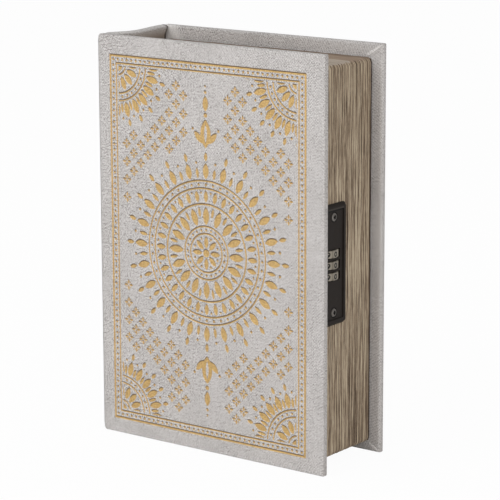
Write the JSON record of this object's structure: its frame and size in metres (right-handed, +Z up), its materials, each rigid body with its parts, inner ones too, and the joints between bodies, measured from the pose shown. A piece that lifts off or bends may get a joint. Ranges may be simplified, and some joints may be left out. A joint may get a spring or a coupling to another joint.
{
  "type": "book diversion safe",
  "caption": "Hollow book in a cloth case, with a dial lock on its fore-edge and a compartment behind the front cover.",
  "frame": {"origin": "under the middle of the closed book, on the surface it stands on", "axes": "+Z up from the tail to the head, +X from the spine to the fore-edge, +Y from the front cover to the back cover"},
  "size_m": [0.163, 0.061, 0.24],
  "materials": {
    "cloth": "plain woven linen",
    "board": "grey board",
    "lining": "matt paper",
    "endpaper": "matt paper",
    "pages": "rough cut page edges",
    "flock": "flocked card",
    "plate": "satin dark bronze",
    "housing": "satin black",
    "steel": "plated",
    "screw": "dark oxide",
    "dial": "satin nickel with dark numbers",
    "brass": "plain"
  },
  "bodies": {
    "case": {"back_cover_cloth": "cloth", "back_cover_board": "board", "back_cover_lining": "lining", "spine_cloth": "cloth", "spine_board": "board", "joint_cloth": "cloth", "page_block": "pages", "back_endpaper": "endpaper", "compartment_liner": "flock", "compartment_floor": "flock", "lock_plate": "plate", "lock_housing": "housing", "dial_axle": "steel", "axle_clip": "steel", "detent_spring": "brass", "plate_screw_lower": "screw", "plate_screw_upper": "screw"},
    "front_cover": {"front_cover_cloth": "cloth", "front_cover_board": "board", "front_cover_lining": "lining", "catch_comb": "steel", "catch_rivet_lower": "steel", "catch_rivet_upper": "steel"},
    "top_dial": {"dial_1": "dial", "dial_cam_1": "brass"},
    "middle_dial": {"dial_2": "dial", "dial_cam_2": "brass"},
    "bottom_dial": {"dial_3": "dial", "dial_cam_3": "brass"}
  },
  "joints": [
    {"name": "front_cover_hinge", "type": "hinge", "parent": "case", "child": "front_cover", "pos_m": [-0.0815, -0.0258, 0.12], "axis": [0, 0, -1], "range_deg": [0, 180], "deforming": ["joint_cloth"]},
    {"name": "top_dial_spin", "type": "hinge", "parent": "case", "child": "top_dial", "pos_m": [0.0686, -0.0128, 0.12535], "axis": [0, 0, 1], "continuous": true},
    {"name": "middle_dial_spin", "type": "hinge", "parent": "case", "child": "middle_dial", "pos_m": [0.0686, -0.0128, 0.1189], "axis": [0, 0, 1], "continuous": true},
    {"name": "bottom_dial_spin", "type": "hinge", "parent": "case", "child": "bottom_dial", "pos_m": [0.0686, -0.0128, 0.11245], "axis": [0, 0, 1], "continuous": true}
  ]
}
